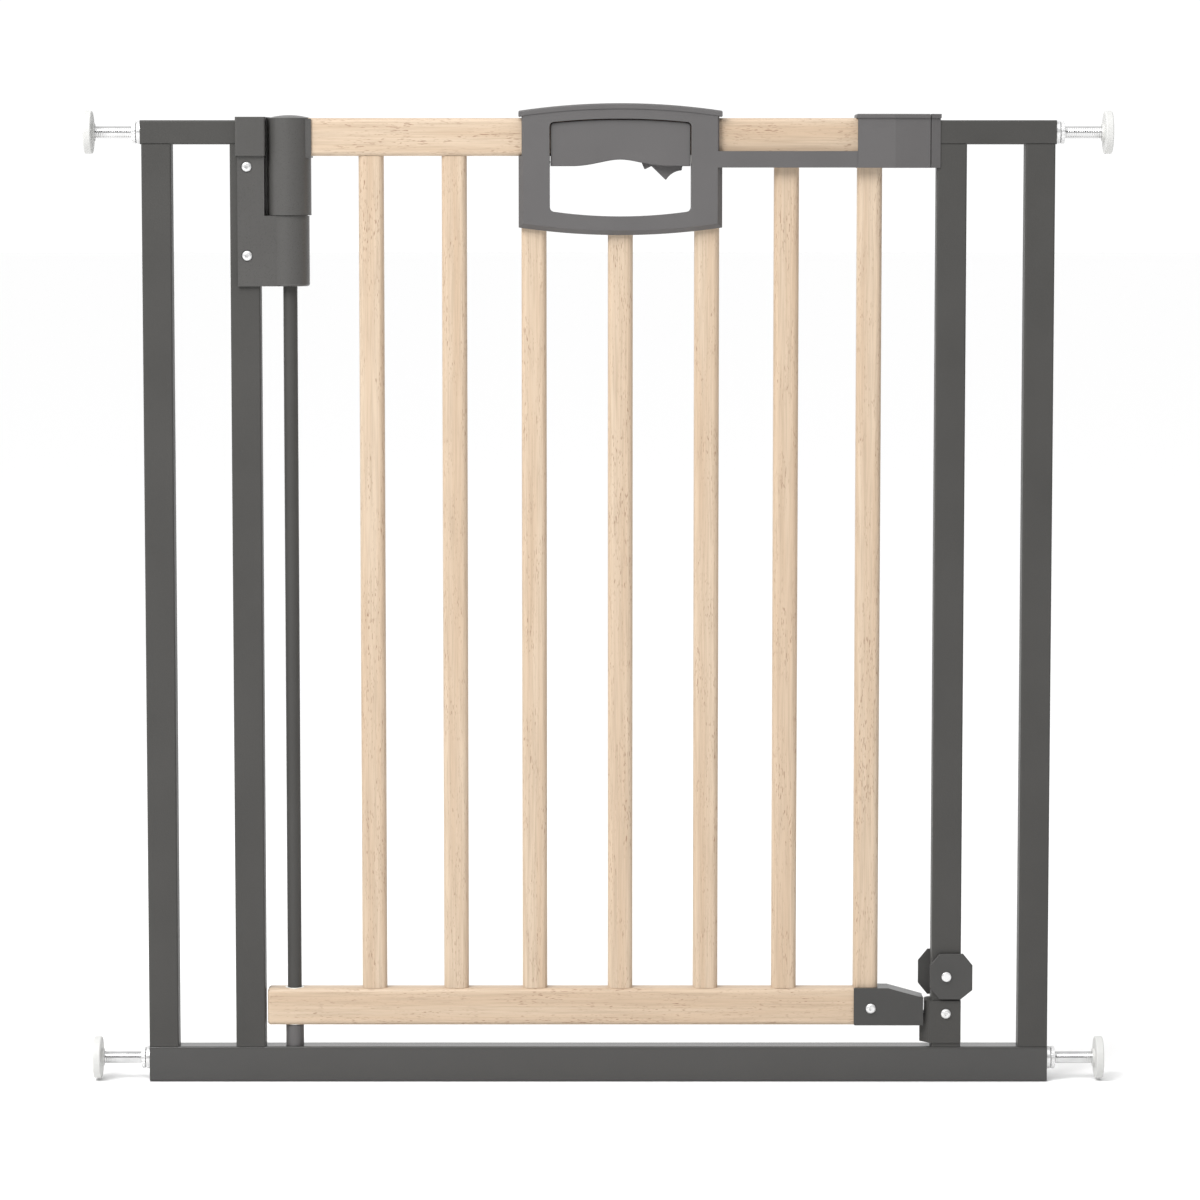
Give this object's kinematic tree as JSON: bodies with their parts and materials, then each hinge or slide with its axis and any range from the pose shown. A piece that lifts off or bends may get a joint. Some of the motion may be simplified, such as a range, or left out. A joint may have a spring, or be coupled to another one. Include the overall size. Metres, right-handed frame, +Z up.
{
  "type": "safety gate",
  "caption": "Pressure-fit safety gate with a wooden slatted door that lifts and swings on a hinge rod, unlocked by a sliding handle catch.",
  "frame": {"origin": "on the floor under the middle of the gate: half way between the wall pads and half way through the depth, at the bottom rail's underside", "axes": "+X along the gate to the latch side, +Y to the back, +Z up"},
  "size_m": [0.861, 0.0386, 0.829],
  "materials": {
    "frame_steel": "fine satin powder coat",
    "dark_plastic": "fine satin texture",
    "beech": "clear matt lacquer",
    "zinc": "bright zinc plate",
    "nylon": "natural nylon",
    "bright_steel": "drawn steel",
    "pad_white": "soft white moulding"
  },
  "bodies": {
    "frame": {"bottom_rail": "frame_steel", "outer_post_left": "frame_steel", "inner_post_left": "frame_steel", "inner_post_right": "frame_steel", "outer_post_right": "frame_steel", "top_rail_left": "frame_steel", "top_rail_right": "frame_steel", "top_inserts": "zinc", "bottom_inserts": "zinc", "hinge_bracket": "dark_plastic", "foot_bush": "dark_plastic", "latch_keeper": "dark_plastic", "bottom_catch": "frame_steel", "stop_bushes": "nylon", "frame_screws": "zinc", "closing_spring": "bright_steel"},
    "hinge_rod": {"hinge_rod": "frame_steel", "rod_collar": "nylon"},
    "door": {"top_wood_rail": "beech", "bottom_wood_rail": "beech", "slat_1": "beech", "slat_2": "beech", "slat_3": "beech", "slat_4": "beech", "slat_5": "beech", "slat_6": "beech", "slat_7": "beech", "hinge_sleeve": "dark_plastic", "hinge_cap": "dark_plastic", "rail_bushes": "nylon", "handle_front": "dark_plastic", "handle_back": "dark_plastic", "handle_cap": "dark_plastic", "rod_cover": "dark_plastic", "lock_housing": "dark_plastic", "lock_cap": "dark_plastic", "bottom_arm": "frame_steel", "door_screws": "zinc", "return_spring": "bright_steel"},
    "slider": {"slider_front": "dark_plastic", "slider_back": "dark_plastic", "pull_rod": "bright_steel", "latch_bolt": "bright_steel", "trigger_pin": "bright_steel"},
    "trigger": {"trigger": "dark_plastic"},
    "direction_stop": {"stop_plate_front": "dark_plastic", "stop_plate_back": "dark_plastic", "stop_shaft": "zinc"},
    "spindle_top_left": {"spindle_top_left": "zinc", "pad_top_left": "pad_white"},
    "spindle_top_right": {"spindle_top_right": "zinc", "pad_top_right": "pad_white"},
    "spindle_bottom_left": {"spindle_bottom_left": "zinc", "pad_bottom_left": "pad_white"},
    "spindle_bottom_right": {"spindle_bottom_right": "zinc", "pad_bottom_right": "pad_white"},
    "nut_top_left": {"nut_top_left": "zinc"},
    "nut_top_right": {"nut_top_right": "zinc"},
    "nut_bottom_left": {"nut_bottom_left": "zinc"},
    "nut_bottom_right": {"nut_bottom_right": "zinc"}
  },
  "joints": [
    {"name": "gate_swing", "type": "hinge", "parent": "frame", "child": "hinge_rod", "pos_m": [-0.259, 0, 0], "axis": [0, 0, -1], "range_deg": [0, 90], "stiffness_Nm_per_rad": 0.4, "springref_deg": -28.65},
    {"name": "gate_lift", "type": "slide", "parent": "hinge_rod", "child": "door", "axis": [0, 0, 1], "range_m": [0, 0.012]},
    {"name": "slider_slide", "type": "slide", "parent": "door", "child": "slider", "axis": [-1, 0, 0], "range_m": [0, 0.008], "stiffness_N_per_m": 300, "springref_m": -0.006, "deforming": ["return_spring"]},
    {"name": "trigger_press", "type": "hinge", "parent": "slider", "child": "trigger", "pos_m": [0.0446, 0, 0.7822], "axis": [0, -1, 0], "range_deg": [0, 10], "stiffness_Nm_per_rad": 0.03, "springref_deg": -17.19},
    {"name": "stop_turn", "type": "hinge", "parent": "frame", "child": "direction_stop", "pos_m": [0.2958, 0, 0.091], "axis": [0, 1, 0], "range_deg": [0, 180]},
    {"name": "spindle_top_left_screw", "type": "slide", "parent": "frame", "child": "spindle_top_left", "axis": [-1, 0, 0], "range_m": [-0.026, 0.013]},
    {"name": "spindle_top_right_screw", "type": "slide", "parent": "frame", "child": "spindle_top_right", "axis": [1, 0, 0], "range_m": [-0.026, 0.013]},
    {"name": "spindle_bottom_left_screw", "type": "slide", "parent": "frame", "child": "spindle_bottom_left", "axis": [-1, 0, 0], "range_m": [-0.026, 0.013]},
    {"name": "spindle_bottom_right_screw", "type": "slide", "parent": "frame", "child": "spindle_bottom_right", "axis": [1, 0, 0], "range_m": [-0.026, 0.013]},
    {"name": "nut_top_left_turn", "type": "hinge", "parent": "frame", "child": "nut_top_left", "pos_m": [-0.389, 0, 0.805], "axis": [-1, 0, 0], "continuous": true},
    {"name": "nut_top_right_turn", "type": "hinge", "parent": "frame", "child": "nut_top_right", "pos_m": [0.389, 0, 0.805], "axis": [1, 0, 0], "continuous": true},
    {"name": "nut_bottom_left_turn", "type": "hinge", "parent": "frame", "child": "nut_bottom_left", "pos_m": [-0.389, 0, 0.019], "axis": [-1, 0, 0], "continuous": true},
    {"name": "nut_bottom_right_turn", "type": "hinge", "parent": "frame", "child": "nut_bottom_right", "pos_m": [0.389, 0, 0.019], "axis": [1, 0, 0], "continuous": true}
  ],
  "couplings": [
    {"joint": "nut_top_left_turn", "follows": "spindle_top_left_screw", "rad_per_m": -4188.8},
    {"joint": "nut_top_right_turn", "follows": "spindle_top_right_screw", "rad_per_m": -4188.8},
    {"joint": "nut_bottom_left_turn", "follows": "spindle_bottom_left_screw", "rad_per_m": -4188.8},
    {"joint": "nut_bottom_right_turn", "follows": "spindle_bottom_right_screw", "rad_per_m": -4188.8}
  ]
}
